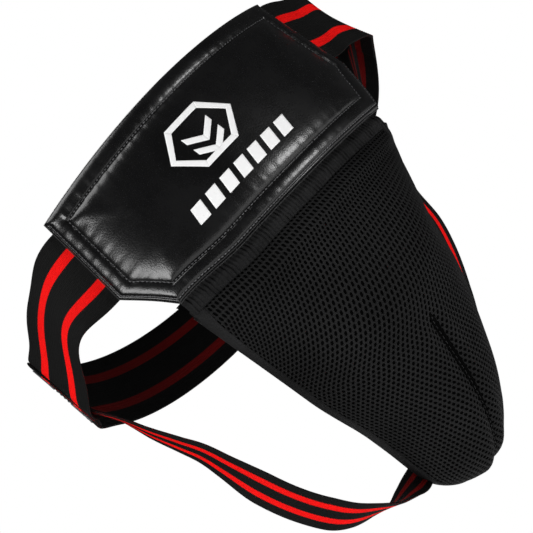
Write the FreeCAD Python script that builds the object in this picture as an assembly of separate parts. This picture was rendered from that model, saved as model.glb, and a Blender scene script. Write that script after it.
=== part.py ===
import FreeCAD, Part
import math
import os

# Groin protector: a padded waist panel, an air-mesh pouch that holds a hard cup, an elastic waist band
# and two elastic leg straps. Millimetres. +Z is up as worn and -Y is the wearer's front. The origin is the
# middle of the waist opening, level with the middle of the front panel.

Vec = FreeCAD.Vector

# ---- driving dimensions ---------------------------------------------------------------------------------
band_width = 50.0            # waist elastic
strap_width = 20.0           # leg elastic
elastic = 1.8                # thickness of both elastics
gap = 0.4                    # clearance between layers that touch

# Waist panel: a hexagon wrapped round a vertical cylinder.
panel_radius = 215.0
panel_front = -105.0         # y of the panel's face on the centre line
panel_axis = panel_front + panel_radius
panel_top = 50.0
panel_knee = -20.0           # level of the widest points
panel_bottom = -56.0
half_top, half_knee, half_bottom = 112.0, 119.0, 99.0
top_crown = 4.0              # rise of the top edge at its middle
face_thickness, foam_thickness, back_thickness = 1.2, 6.6, 1.0
foam_inset = 5.0
stitch_inset, channel_inset = 2.6, 12.0
thread, thread_height = 0.7, 0.4
print_thickness = 0.25
label_half, label_low, label_high, label_thickness = 21.0, -8.0, 20.0, 0.5
close = 0.02                 # clearance between layers bonded face to face

# Waist band: from behind the panel to a seam at each hip, and on round the back.
hip_half, hip_y = 173.6, -18.4
back_depth = 131.0           # from the hips to the middle of the back
back_power = 1.156           # 1 is an ellipse; more is squarer
front_level, hip_level = 16.0, -9.8   # height of the band's middle line
back_droop = 0.35            # fall of the band per millimetre towards the back
band_cone = math.radians(12.0)        # the band leans in at its top edge
turn = 0.20                  # where the right back half starts to swing, radians
fold_clear = 0.012           # gap at that fold, radians
hip_clear = 0.02             # gap between the front and back pieces at a hip, radians
tack_angle = 0.07            # bar tacks, radians behind the hip
closure_half = 0.26          # half length of the closure, radians
patch_thickness, patch_inset = 1.4, 4.0
patch_margin = 0.04          # closure left bare at each end of a patch, radians
tack_level, tack_length, tack_width, tack_thickness = 14.0, 16.0, 2.4, 0.6

# Pouch: an opening plane that leans back under the body, and a bulge in front of it.
lean = math.radians(31.0)
opening_y, opening_z = panel_front + 26.0, -56.0
pouch_top, pouch_length = 20.0, 252.0
tip_start = 212.0            # where the sides start to close round the tip
tip_drift = 7.0              # the tip hangs this far to the wearer's right
pouch_half = 101.0
taper = 0.43 / 188.0
arch_power = 1.35            # shape of the bulge's section
mesh_thickness = 3.0
cup_share = 0.72             # width of the cup in the width of the pouch
cup_wall = 3.0
cup_top, cup_end = 40.0, 226.0
cup_inset = 4.0              # cup inside the face of the cover
vent_radius = 3.5
vent_levels, vent_places = (80.0, 112.0, 144.0), (-22.0, 0.0, 22.0)
lining_thickness, border_thickness = 1.5, 1.2
lining_slack = 3.5           # room between the lining and the inside of the cup
rim_height = 4.0
binding_width = 8.0
hem_drop = 11.5              # height of the hem that shows below the panel
hem_half = 96.0
hem_thickness = 2.4
binding_thickness = 3.4
strap_angle = 0.12           # leg straps, radians behind the hip
sewn_width, sewn_x, sewn_top, sewn_end = 26.0, 36.0, 206.0, 230.0   # strap ends behind the tip
# Cutting blocks start this far in front of the panel and run this deep.
cutter_lead, cutter_depth = 20.0, 90.0


# ---- small helpers --------------------------------------------------------------------------------------
def smooth(t):
    t = min(max(t, 0.0), 1.0)
    return t * t * (3 - 2 * t)


def save(shape, node):
    shape.exportStep("parts/" + node + ".step")


def polygon(points):
    return Part.makePolygon(list(points) + [points[0]])


def strip(stations, width, thickness):
    """A flat band through stations of (centre, direction of its width, direction of its thickness)."""
    half_w, half_t = width / 2, thickness / 2
    wires = []
    for centre, across, through in stations:
        w, t = across * half_w, through * half_t
        wires.append(polygon([centre - w - t, centre + w - t, centre + w + t, centre - w + t]))
    return Part.makeLoft(wires, True, False)


# ---- waist panel ----------------------------------------------------------------------------------------
def shell(outer, inner, low, high):
    """The part of a vertical tube round the panel's axis between two radii and two levels."""
    base = Vec(0, panel_axis, low)
    tube = Part.makeCylinder(outer, high - low, base)
    return tube.cut(Part.makeCylinder(inner, high - low, base))


def panel_corners(inset):
    """Corners of the hexagon, as seen from the front, moved in by inset."""
    right = [(half_top, panel_top), (half_knee, panel_knee), (half_bottom, panel_bottom)]
    corners = right + [(-x, z) for x, z in reversed(right)]
    moved = []
    for i, (x, z) in enumerate(corners):
        before, after = corners[i - 1], corners[(i + 1) % len(corners)]
        lines = []
        for (x0, z0), (x1, z1) in ((before, (x, z)), ((x, z), after)):
            length = math.hypot(x1 - x0, z1 - z0)
            normal = ((z1 - z0) / length, -(x1 - x0) / length)
            lines.append((normal, normal[0] * x + normal[1] * z + inset))
        (a, p), (b, q) = lines
        det = a[0] * b[1] - a[1] * b[0]
        moved.append(((p * b[1] - q * a[1]) / det, (a[0] * q - b[0] * p) / det))
    return moved


def panel_prism(inset):
    """The hexagon with its crowned top edge, as a solid that runs through the panel from front to back."""
    front = panel_front - cutter_lead
    points = [Vec(x, front, z) for x, z in panel_corners(inset)]
    crown = Vec(0, front, panel_top - inset + top_crown)
    edges = [Part.makeLine(a, b) for a, b in zip(points, points[1:])]
    edges.append(Part.Arc(points[-1], crown, points[0]).toShape())
    return Part.Face(Part.Wire(edges)).extrude(Vec(0, cutter_depth, 0))


def panel_layer(inset, depth, thickness):
    outer = panel_radius - depth
    tube = shell(outer, outer - thickness, panel_bottom - 10, panel_top + 20)
    return panel_prism(inset).common(tube)


def stitch_row(inset):
    ring = panel_prism(inset).cut(panel_prism(inset + thread))
    tube = shell(panel_radius + thread_height, panel_radius + close, panel_bottom - 10, panel_top + 20)
    return ring.common(tube)


def flat_shape(points):
    """An outline drawn on the front, given as (x, z), wrapped on the panel's face as a thin print."""
    front = panel_front - cutter_lead
    block = Part.Face(polygon([Vec(x, front, z) for x, z in points])).extrude(Vec(0, cutter_depth, 0))
    return block.common(shell(panel_radius + print_thickness, panel_radius + close, panel_bottom, panel_top))


def emblem():
    """A plain hexagon ring round two chevrons, over a row of slanted bars."""
    middle_x, middle_z, half_wide, half_tall, wall = -9.0, 9.0, 29.0, 20.8, 4.6

    def hexagon(inset):
        turns = [math.radians(60 * i) for i in range(6)]
        wide, tall = half_wide - inset, half_tall - inset
        return [(middle_x + wide * math.cos(a), middle_z + tall * math.sin(a)) for a in turns]

    shapes = [flat_shape(hexagon(0)).cut(flat_shape(hexagon(wall)))]
    reach, fall, height = 12.0, 8.0, 5.0
    for top in (middle_z - 3.5, middle_z + 6.5):
        lower = [(middle_x - reach, top), (middle_x, top - fall), (middle_x + reach, top)]
        upper = [(x, z + height) for x, z in reversed(lower)]
        shapes.append(flat_shape(lower + upper))
    bar, pitch, slant, low, high = 9.0, 13.4, 3.0, -30.0, -18.5
    for i in range(7):
        x = -55 + pitch * i
        shapes.append(flat_shape([(x, low), (x + bar, low), (x + bar + slant, high), (x + slant, high)]))
    return Part.makeCompound(shapes)


def behind_panel(half, low, high, thickness):
    """A strip that lies against the back of the panel, half wide to each side, between two levels."""
    outer = panel_radius - face_thickness - foam_thickness - back_thickness - gap
    corner = Vec(-half, panel_front - cutter_lead, low)
    block = Part.makeBox(2 * half, cutter_depth, high - low, corner)
    return block.common(shell(outer, outer - thickness, low, high))


def top_hem():
    """The doubled mesh strip sewn behind the panel's bottom edge, with the pouch below it."""
    return behind_panel(hem_half, panel_bottom - hem_drop, panel_bottom + 10, hem_thickness)


def size_label():
    """A blank woven label sewn to the back of the panel, against the body."""
    return behind_panel(label_half, label_low, label_high, label_thickness)


def build_panel():
    depth = face_thickness
    save(panel_layer(0, 0, face_thickness), "panel_face")
    save(panel_layer(foam_inset, depth + close, foam_thickness - 2 * close), "panel_foam")
    save(panel_layer(0, depth + foam_thickness, back_thickness), "panel_backing")
    save(stitch_row(stitch_inset), "panel_edge_stitching")
    save(stitch_row(channel_inset), "panel_channel_stitching")
    save(emblem(), "panel_emblem_print")
    save(top_hem(), "pouch_top_hem")
    save(size_label(), "size_label")


# ---- waist band -----------------------------------------------------------------------------------------
def front_station(t, side):
    """A place on the front stretch: t is 0 behind the panel and 1 at the hip; side is -1 or 1."""
    radius = panel_radius - face_thickness - foam_thickness - back_thickness - gap - elastic / 2
    start_angle, run_angle = 0.54, 0.74
    start = Vec(radius * math.sin(start_angle), panel_axis - radius * math.cos(start_angle), 0)
    start_run = Vec(math.cos(run_angle), math.sin(run_angle), 0) * 80
    end, end_run = Vec(hip_half - elastic, hip_y, 0), Vec(0.05, 1.0, 0) * 80
    place = (start * (2 * t**3 - 3 * t**2 + 1) + start_run * (t**3 - 2 * t**2 + t)
             + end * (3 * t**2 - 2 * t**3) + end_run * (t**3 - t**2))
    run = (start * (6 * t**2 - 6 * t) + start_run * (3 * t**2 - 4 * t + 1)
           + end * (6 * t - 6 * t**2) + end_run * (3 * t**2 - 2 * t))
    out = Vec(run.y, -run.x, 0).normalize()
    level = front_level + (hip_level - front_level) * smooth(t)
    return station(Vec(side * place.x, place.y, level), Vec(side * out.x, out.y, 0), smooth(t), 0.0)


def back_station(angle, offset=0.0):
    """A place on the back stretch: angle is 0 at the left hip and pi at the right hip."""
    def place(a):
        c, s = math.cos(a), math.sin(a)
        x = -hip_half * math.copysign(abs(c) ** back_power, c)
        y = hip_y + back_depth * math.copysign(abs(s) ** back_power, s)
        return Vec(x, y, hip_level - back_droop * (y - hip_y))

    step = 0.01
    run = place(angle + step) - place(angle - step)
    out = Vec(-run.y, run.x, 0).normalize()
    return station(place(angle), out, 1.0, offset)


def station(centre, out, cone_share, offset):
    cone = band_cone * cone_share
    across = Vec(0, 0, 1) * math.cos(cone) - out * math.sin(cone)
    through = out * math.cos(cone) + Vec(0, 0, 1) * math.sin(cone)
    return centre + out * offset, across, through


def spread(low, high, count):
    return [low + (high - low) * i / (count - 1) for i in range(count)]


def front_band(side):
    return strip([front_station(t, side) for t in spread(0, 1.0, 9)], band_width, elastic)


def back_band(low, high, outer=0.0):
    """A stretch of the back elastic, stepping outwards by outer as it nears the closure."""
    ramp = math.pi / 2 + closure_half

    def offset(a):
        return outer * (1 - smooth((a - ramp - 0.05) / 0.5))

    return strip([back_station(a, offset(a)) for a in spread(low, high, 15)], band_width, elastic)


def closure_patch(offset):
    reach = closure_half - patch_margin
    stations = [back_station(a, offset) for a in spread(math.pi / 2 - reach, math.pi / 2 + reach, 7)]
    return strip(stations, band_width - 2 * patch_inset, patch_thickness)


def hip_tacks(angle):
    """Two bar tacks of thread on the outside of a hip lap."""
    centre, across, through = back_station(angle)
    tacks = []
    for level in (-tack_level, tack_level):
        middle = centre + across * level + through * (elastic / 2 + tack_thickness)
        side = across.cross(through) * (tack_width / 2)
        ends = [(middle - side, across, through), (middle + side, across, through)]
        tacks.append(strip(ends, tack_length, tack_thickness))
    return Part.makeCompound(tacks)


def build_band():
    middle = math.pi / 2
    loop_offset = (elastic + patch_thickness) / 2 + gap
    step_out = 2 * loop_offset + patch_thickness + gap
    save(front_band(-1), "waist_front_left")
    save(front_band(1), "waist_front_right")
    save(back_band(hip_clear, middle + closure_half), "waist_back_left")
    save(back_band(math.pi - turn + fold_clear, math.pi - hip_clear), "waist_hip_lap_right")
    save(back_band(middle - closure_half, math.pi - turn, step_out), "waist_back_right")
    save(closure_patch(loop_offset), "closure_loop_patch")
    save(closure_patch(step_out - loop_offset), "closure_hook_patch")
    save(hip_tacks(tack_angle), "hip_tacks_left")
    save(hip_tacks(math.pi - tack_angle), "hip_tacks_right")


# ---- pouch ----------------------------------------------------------------------------------------------
def opening_point(s, x=0.0, back=0.0):
    """A point s down the opening plane, x across it and back behind it."""
    x -= tip_drift * (s / pouch_length) ** 2
    return Vec(x, opening_y + s * math.sin(lean) + back * math.cos(lean),
               opening_z - s * math.cos(lean) + back * math.sin(lean))


def bulge_direction(s):
    angle = lean * smooth(s / 90)
    return Vec(0, -math.cos(angle), -math.sin(angle))


def half_width(s):
    tip = max(0.0, (s - tip_start) / (pouch_length - tip_start))
    return pouch_half * (1 - taper * s) * math.sqrt(max(0.0, 1 - tip**2))


def bulge_depth(s):
    tip = max(0.0, (s - 165) / (pouch_length - 165))
    rise = 38 + 28 * math.sin(math.pi / 2 * min(max((s - 20) / 60, 0), 1))
    return (rise - 0.11 * max(0, s - 80)) * math.sqrt(max(0.0, 1 - tip**2.5))


def bulge_section(s, half, depth, back):
    """A closed section: an arch in front of the opening plane with straight sides behind it."""
    middle, forward = opening_point(s), bulge_direction(s)
    angles = [math.pi * (i / 12 - 0.5) for i in range(13)]
    arch = [middle + Vec(half * math.sin(a), 0, 0) + forward * (depth * math.cos(a) ** arch_power)
            for a in angles[1:-1]]
    left, right = middle - Vec(half, 0, 0), middle + Vec(half, 0, 0)
    curve = Part.BSplineCurve()
    curve.interpolate([left] + arch + [right])
    behind = forward * -back
    return Part.Wire([curve.toShape(), Part.makeLine(right, right + behind),
                      Part.makeLine(right + behind, left + behind), Part.makeLine(left + behind, left)])


def bulge(low, high, share, inset, back, count=10):
    """A solid arch that is share of the pouch's width, and inset inside it all round."""
    wires = [bulge_section(s, share * half_width(s) - inset, bulge_depth(s) - inset, back)
             for s in spread(low, high, count)]
    return Part.makeLoft(wires, True, False)


def flat_ring(low, high, share, outer, inner, back, thickness):
    """A flat U-shaped plate behind the opening plane, between two insets of the pouch's outline."""
    def outline(inset, top, tip):
        stations = spread(top, tip, 14)
        left = [opening_point(s, -max(share * half_width(s) - inset, 3), back) for s in stations]
        right = [opening_point(s, max(share * half_width(s) - inset, 3), back) for s in reversed(stations)]
        sides = []
        for run in (left, right):
            curve = Part.BSplineCurve()
            curve.interpolate(run)
            sides.append(curve.toShape())
        tip_line, top_line = Part.makeLine(left[-1], right[0]), Part.makeLine(right[-1], left[0])
        return Part.Face(Part.Wire([sides[0], tip_line, sides[1], top_line]))

    along = Vec(0, math.cos(lean), math.sin(lean)) * thickness
    plate = outline(outer, low, high).extrude(along)
    hole = outline(inner, low - 30, high - (inner - outer)).extrude(along * 3)
    hole.translate(along * -1)
    return plate.cut(hole)


def build_pouch():
    tip = pouch_length - 4
    cover = bulge(pouch_top, tip, 1.0, 0.0, 0.2)
    cover = cover.cut(bulge(pouch_top - 3, tip - mesh_thickness, 1.0, mesh_thickness, 8))
    save(cover, "pouch_mesh")

    cup = bulge(cup_top, cup_end, cup_share, cup_inset, 0.2)
    cup = cup.cut(bulge(cup_top - 6, cup_end - cup_wall, cup_share, cup_inset + cup_wall, 8))
    for s in vent_levels:
        for x in vent_places:
            cup = cup.cut(Part.makeCylinder(vent_radius, 110, opening_point(s, x), bulge_direction(s)))
    save(cup, "cup_shell")

    rim_inner = cup_inset + cup_wall + 2.5
    save(flat_ring(cup_top, cup_end + 1.5, cup_share, 2.0, rim_inner, gap, rim_height), "cup_rim")

    lining_back = rim_height + 2 * gap
    lining_inset = cup_inset + cup_wall + gap
    outer = lining_inset + lining_slack
    bowl = bulge(pouch_top + 4, cup_end - 6, cup_share, outer, lining_back + border_thickness)
    bowl = bowl.cut(bulge(pouch_top, cup_end - 8, cup_share, outer + lining_thickness, 20))
    save(bowl, "pouch_lining_bowl")
    flange_inner = (1 - cup_share) * half_width(100)
    flange = flat_ring(pouch_top + 4, tip - 4, 1.0, 1.0, flange_inner, lining_back, border_thickness)
    save(flange.cut(bulge(pouch_top, cup_end - 4, cup_share, lining_inset + 3.2, 20)), "pouch_lining_border")

    edge = flat_ring(pouch_top + 3, tip, 1.0, 0.0, binding_width, gap, binding_thickness)
    half_space = Part.makeBox(200, 400, 400, Vec(0.2, -200, -350))
    save(edge.common(half_space), "pouch_binding_right")
    half_space.translate(Vec(-200.4, 0, 0))
    save(edge.common(half_space), "pouch_binding_left")


# ---- leg straps -----------------------------------------------------------------------------------------
def strap_stations(route):
    """Stations along a strap: it starts flat against the hip and turns to face forward under the leg."""
    stations = []
    for i, point in enumerate(route):
        ahead, behind = route[min(i + 1, len(route) - 1)], route[max(i - 1, 0)]
        run = (ahead - behind).normalize()
        share = smooth(i / (len(route) - 1) * 1.6)
        side = math.copysign(1, route[0].x)
        facing = Vec(side, 0, 0) * (1 - share) + Vec(side * 0.25, -0.85, -0.45) * share
        across = run.cross(facing).normalize()
        stations.append((point, across, across.cross(run).normalize()))
    return stations


def build_straps():
    # The left strap hangs slack in a loop and the right one runs nearly straight.
    left = [(-172, -6, -50), (-161, -5, -79), (-151, -5, -108), (-144, -4, -140), (-138, -1, -170),
            (-127, 5, -198), (-109, 11, -218), (-88, 17, -233), (-66, 24, -242)]
    right = [(172, -6, -50), (149, -2, -78), (127, 3, -107), (111, 8, -137), (100, 13, -165),
             (91, 17, -188), (84, 20, -207), (78, 24, -224)]
    for name, route in (("left", left), ("right", right)):
        solid = strip(strap_stations([Vec(*p) for p in route]), strap_width, elastic)
        save(solid, "leg_strap_" + name)
        side = math.copysign(1, route[0][0])
        angle = strap_angle if side < 0 else math.pi - strap_angle
        centre, across, through = back_station(angle)
        middle = centre - across * 14 - through * (elastic + 3 * gap)
        run = across.cross(through)
        sewn = [(middle - run * 9, across, through), (middle + run * 9, across, through)]
        save(strip(sewn, 20, elastic), "strap_hip_end_" + name)
        anchor = [opening_point(s, side * sewn_x, rim_height + 4.2) for s in (sewn_top, sewn_end)]
        normal = Vec(0, math.cos(lean), math.sin(lean))
        flat = [(p, Vec(1, 0, 0), normal) for p in anchor]
        save(strip(flat, sewn_width, elastic), "strap_pouch_end_" + name)


os.makedirs("parts", exist_ok=True)
build_panel()
build_band()
build_pouch()
build_straps()
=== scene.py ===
import math

import bpy
import numpy as np
from mathutils import Matrix, Vector


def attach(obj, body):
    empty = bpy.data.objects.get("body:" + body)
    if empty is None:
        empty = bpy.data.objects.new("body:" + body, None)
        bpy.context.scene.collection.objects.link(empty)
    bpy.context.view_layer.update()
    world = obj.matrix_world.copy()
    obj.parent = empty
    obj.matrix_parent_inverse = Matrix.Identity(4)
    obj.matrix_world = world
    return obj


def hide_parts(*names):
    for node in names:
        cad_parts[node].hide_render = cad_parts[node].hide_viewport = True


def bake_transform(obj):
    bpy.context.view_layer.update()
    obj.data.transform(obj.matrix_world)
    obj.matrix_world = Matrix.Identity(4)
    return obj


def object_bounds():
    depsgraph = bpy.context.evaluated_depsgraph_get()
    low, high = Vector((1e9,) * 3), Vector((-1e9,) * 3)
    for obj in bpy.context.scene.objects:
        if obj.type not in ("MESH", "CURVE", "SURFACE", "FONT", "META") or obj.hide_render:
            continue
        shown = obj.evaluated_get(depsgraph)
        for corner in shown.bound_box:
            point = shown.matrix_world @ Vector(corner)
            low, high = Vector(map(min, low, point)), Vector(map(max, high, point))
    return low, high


# A groin protector: a puffed leather waist panel, an air-mesh pouch with a hard cup, striped elastics.
# Sizes are in millimetres in the functions below, and the meshes are made in metres, in the frame's axes.

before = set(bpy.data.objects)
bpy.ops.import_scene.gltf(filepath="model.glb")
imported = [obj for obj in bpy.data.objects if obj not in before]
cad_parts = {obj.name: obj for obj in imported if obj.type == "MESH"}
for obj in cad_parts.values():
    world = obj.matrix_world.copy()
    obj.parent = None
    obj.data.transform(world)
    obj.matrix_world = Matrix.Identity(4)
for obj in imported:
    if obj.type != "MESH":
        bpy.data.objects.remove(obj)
cad_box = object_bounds()
MM = 0.001

# ---- sizes, as in the CAD ----
BAND_WIDTH, STRAP_WIDTH, ELASTIC = 50.0, 20.0, 1.8
PANEL_RADIUS, PANEL_AXIS = 215.0, 110.0
PANEL_TOP, PANEL_KNEE, PANEL_BOTTOM, PANEL_CROWN = 50.0, -20.0, -56.0, 4.0
HALF_TOP, HALF_KNEE, HALF_BOTTOM = 112.0, 119.0, 99.0
EDGE_ROW, CHANNEL_ROW = 2.6, 12.0
LEATHER, BACKING_DEPTH = 1.2, 7.6
HIP_HALF, HIP_Y, BACK_DEPTH, BACK_POWER = 173.6, -18.4, 131.0, 1.156
FRONT_LEVEL, HIP_LEVEL, BACK_DROOP = 16.0, -9.8, 0.35
BAND_CONE, BACK_WIDE = 12.0, 1.08
CLOSURE_HALF, PATCH = 0.26, 1.4
LEAN = math.radians(31)
OPENING_Y, OPENING_Z = -79.0, -56.0
POUCH_LENGTH, POUCH_HALF, TAPER = 252.0, 101.0, 0.43 / 188
TIP_START, TIP_DRIFT = 212.0, 7.0
ARCH = 0.675
CUP_SHARE = 0.72
SEAM_START = 98.0
PITCH, ROW = 4.0, 3.35  # of the net's holes
NET_DEEP, NET_MARGIN, NET_HOLE = 0.95, 4.5, (0.54, 0.64)  # thickness, plain edge, share of a cell that is open
BASE_NEAR, BASE_FAR = 1.0, 1.9  # how far the mesh's inner face lies under the cover's outer one
# How far behind the panel's cylinder its back pieces lie.
BACK_SHEET, LABEL_DEPTH, ELASTIC_DEPTH, HEM_DEPTH, COVER_DEPTH = 8.7, 9.6, 9.2, 9.4, 11.6
LAP = (0.012, 0.15)  # where the ends of the front pieces lie inside the back piece, in radians from a hip
# The inner faces of the elastics get painted shade; the cloth coordinates below set them apart.
SHADED_INNER_FACE = 4.0  # how many widths the cloth coordinates of an elastic's inner face are moved by
# How each front stretch of the waist band lies: how it leaves the panel and meets the hip, how far the hip sits
# from its place in the CAD, and how its width, height and lean change on the way.
FRONT = {
    -1: {"pulls": (147, 50), "leave": (0.565, 0.45), "arrive": -0.5, "hip": (0.3, 10, -6.7), "lean": 1.8,
         "wide": (1.22, 1.20), "rise": (-0.4, 6.3, -1.8), "twist": (-8, 29.5, 10.8)},
    1: {"pulls": (102, 184), "leave": (0.578, 0.70), "arrive": 0.464, "hip": (-5, -4, 12), "lean": 17.0,
        "wide": (1.205, 0.97), "rise": (2.0, 0.0, 2.8), "twist": (-2.3, -10.5, -17.6)},
}


# ---- helpers ----
def smooth(t):
    t = np.clip(t, 0, 1)
    return t * t * (3 - 2 * t)


def unit(v):
    return v / np.maximum(np.linalg.norm(v, axis=-1, keepdims=True), 1e-12)


def ripple(a, b, seed):
    """A smooth uneven wave between about -1 and 1, the same on every run."""
    return (np.sin(a + 1.3 * seed) + 0.6 * np.sin(1.71 * a + 1.13 * b + 2.1 * seed)
            + 0.5 * np.sin(0.57 * a - 1.9 * b + 0.7 * seed)) / 2.1


def add_object(name, data):
    obj = bpy.data.objects.new(name, data)
    bpy.context.scene.collection.objects.link(obj)
    return obj


def add_mesh(name, points, faces, material, uv=None, flat=False):
    """A mesh object from points in millimetres; uv has one pair per point."""
    mesh = bpy.data.meshes.new(name)
    mesh.from_pydata((np.asarray(points, float).reshape(-1, 3) * MM).tolist(), [], faces)
    mesh.update()
    if uv is not None:
        corners = np.zeros(len(mesh.loops), np.int32)
        mesh.loops.foreach_get("vertex_index", corners)
        layer = mesh.uv_layers.new(name="Cloth")
        layer.data.foreach_set("uv", np.asarray(uv, np.float32).reshape(-1, 2)[corners].ravel())
    mesh.polygons.foreach_set("use_smooth", [not flat] * len(mesh.polygons))
    mesh.materials.append(material)
    return add_object(name, mesh)


def grid_faces(rows, cols, start=0, flip=False, around=False):
    """Faces of a grid of points that are numbered row by row; around joins the last column to the first."""
    faces = []
    for i in range(rows - 1):
        for j in range(cols if around else cols - 1):
            k = (j + 1) % cols
            quad = [start + i * cols + j, start + i * cols + k,
                    start + (i + 1) * cols + k, start + (i + 1) * cols + j]
            faces.append(quad[::-1] if flip else quad)
    return faces


def slab(front, back):
    """Points and faces of a closed sheet between two grids of the same shape."""
    rows, cols = front.shape[:2]
    count = rows * cols
    faces = grid_faces(rows, cols) + grid_faces(rows, cols, count, flip=True)
    rim = list(range(cols)) + [i * cols + cols - 1 for i in range(1, rows)]
    rim += [(rows - 1) * cols + j for j in range(cols - 2, -1, -1)] + [i * cols for i in range(rows - 2, 0, -1)]
    for a, b in zip(rim, rim[1:] + rim[:1]):
        faces.append([b, a, a + count, b + count])
    return np.concatenate([front.reshape(-1, 3), back.reshape(-1, 3)]), faces


def tube(path, radius):
    """Points and faces of a round thread along a path; radius is one number for each of its points."""
    sides = 6
    run = unit(np.gradient(path, axis=0))
    helper = np.where(np.abs(run[:, 2:3]) > 0.9, np.array([[1.0, 0, 0]]), np.array([[0, 0, 1.0]]))
    first = unit(np.cross(run, helper))
    second = np.cross(run, first)
    turns = np.linspace(0, 2 * math.pi, sides, endpoint=False)
    ring = first[:, None] * np.cos(turns)[None, :, None] + second[:, None] * np.sin(turns)[None, :, None]
    points = (path[:, None] + ring * np.asarray(radius)[:, None, None]).reshape(-1, 3)
    faces = grid_faces(len(path), sides, around=True)
    last = (len(path) - 1) * sides
    faces += [list(range(sides))[::-1], [last + k for k in range(sides)]]
    return points, faces


def join(parts):
    """Several (points, faces) as one."""
    points, faces, start = [], [], 0
    for p, f in parts:
        points.append(p)
        faces += [[start + i for i in face] for face in f]
        start += len(p)
    return np.concatenate(points), faces


def lengths(path):
    """How far each point of a path lies along it."""
    return np.concatenate([[0], np.cumsum(np.linalg.norm(np.diff(path, axis=0), axis=1))])


def pick_along(at, along, values):
    """Values of the points of a path, one row for each, read off at other lengths along it."""
    return np.stack([np.interp(at, along, values[:, k]) for k in range(values.shape[1])], axis=1)


def stitches(path, length, space, radius, out):
    """Sewn stitches along a path: each one rises from the cloth and dips back into it."""
    along = lengths(path)
    hump = np.sin(np.linspace(0.05, 0.95, 7) * math.pi)
    parts, at = [], space
    while at + length < along[-1]:
        places = at + length * np.linspace(0, 1, 7)
        normal = unit(pick_along(places, along, out))
        middle = pick_along(places, along, path) + normal * (radius * (2.2 * hump - 1.4))[:, None]
        parts.append(tube(middle, radius * (0.55 + 0.45 * hump)))
        at += length + space
    return join(parts)


# ---- materials ----
class Nodes:
    """A material's node tree, with short ways to add what the finishes below need."""

    def __init__(self, name, colour, roughness, **sockets):
        self.material = bpy.data.materials.new(name)
        self.material.use_nodes = True
        self.tree = self.material.node_tree
        self.shader = self.tree.nodes["Principled BSDF"]
        self.shader.inputs["Base Color"].default_value = (*colour, 1)
        self.shader.inputs["Roughness"].default_value = roughness
        for socket, value in sockets.items():
            self.shader.inputs[socket.replace("_", " ")].default_value = value
        self.bump_from = None

    def node(self, kind):
        return self.tree.nodes.new("ShaderNode" + kind)

    def link(self, a, b):
        self.tree.links.new(a, b)

    def feed(self, socket, value):
        """Links another node's output to a socket, or sets the socket to a number or colour."""
        if isinstance(value, bpy.types.NodeSocket):
            self.link(value, socket)
        else:
            socket.default_value = value

    def place(self):
        return self.node("TexCoord").outputs["Object"]

    def noise(self, scale, detail=3.0, rough=0.5):
        made = self.node("TexNoise")
        for key, value in (("Vector", self.place()), ("Scale", scale), ("Detail", detail), ("Roughness", rough)):
            self.feed(made.inputs[key], value)
        return made.outputs["Fac"]

    def cells(self, scale):
        made = self.node("TexVoronoi")
        made.feature = "F1"
        self.link(self.place(), made.inputs["Vector"])
        made.inputs["Scale"].default_value = scale
        return made.outputs["Distance"]

    def maths(self, operation, *values):
        made = self.node("Math")
        made.operation = operation
        for socket, value in zip(made.inputs, values):
            self.feed(socket, value)
        return made.outputs[0]

    def spread(self, value, low, high, to_low=0.0, to_high=1.0):
        made = self.node("MapRange")
        self.link(value, made.inputs["Value"])
        for key, number in (("From Min", low), ("From Max", high), ("To Min", to_low), ("To Max", to_high)):
            made.inputs[key].default_value = number
        return made.outputs["Result"]

    def mix(self, share, a, b):
        made = self.node("Mix")
        made.data_type = "RGBA"
        self.link(share, made.inputs[0])
        for socket, value in ((made.inputs[6], a), (made.inputs[7], b)):
            self.feed(socket, (*value, 1) if isinstance(value, tuple) else value)
        return made.outputs[2]

    def colour(self, value):
        self.link(value, self.shader.inputs["Base Color"])

    def tone(self, value, low, high, dark, light):
        """Colours the surface from dark to light as a value goes from low to high."""
        self.colour(self.mix(self.spread(value, low, high), dark, light))

    def rough(self, value, low, high, to_low, to_high):
        self.link(self.spread(value, low, high, to_low, to_high), self.shader.inputs["Roughness"])

    def bump(self, height, strength, distance_mm):
        """Adds a layer of relief, distance_mm deep, over the layers that are there."""
        made = self.node("Bump")
        made.inputs["Strength"].default_value = strength
        made.inputs["Distance"].default_value = distance_mm * MM
        self.link(height, made.inputs["Height"])
        if self.bump_from is not None:
            self.link(self.bump_from, made.inputs["Normal"])
        self.bump_from = made.outputs["Normal"]
        self.link(self.bump_from, self.shader.inputs["Normal"])

    def cloth_place(self):
        """Across and along the cloth, in millimetres."""
        made = self.node("UVMap")
        made.uv_map = "Cloth"
        apart = self.node("SeparateXYZ")
        self.link(made.outputs["UV"], apart.inputs[0])
        return apart.outputs["X"], apart.outputs["Y"]

    def wave(self, value, period):
        """A sine wave of a length in millimetres, from 0 to 1."""
        turn = self.maths("MULTIPLY_ADD", value, 2 * math.pi / period, 0.0)
        return self.maths("MULTIPLY_ADD", self.maths("SINE", turn), 0.5, 0.5)


def leather_material():
    """Glossy black synthetic leather: fine pebble grain, faint creases and uneven polish."""
    n = Nodes("panel_leather", (0.0045, 0.0045, 0.005), 0.3, Specular_IOR_Level=0.5)
    grain = n.cells(900.0)
    crease = n.noise(60.0, 6.0, 0.65)
    patches = n.noise(22.0, 4.0, 0.6)
    n.tone(patches, 0.35, 0.7, (0.002, 0.002, 0.0022), (0.0042, 0.0042, 0.0045))
    n.rough(n.maths("MULTIPLY_ADD", grain, 0.25, patches), 0.35, 0.85, 0.2, 0.34)
    n.bump(n.noise(9.0, 3.0, 0.5), 0.25, 1.0)
    n.bump(crease, 0.2, 0.22)
    n.bump(grain, 0.4, 0.1)
    return n.material


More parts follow.
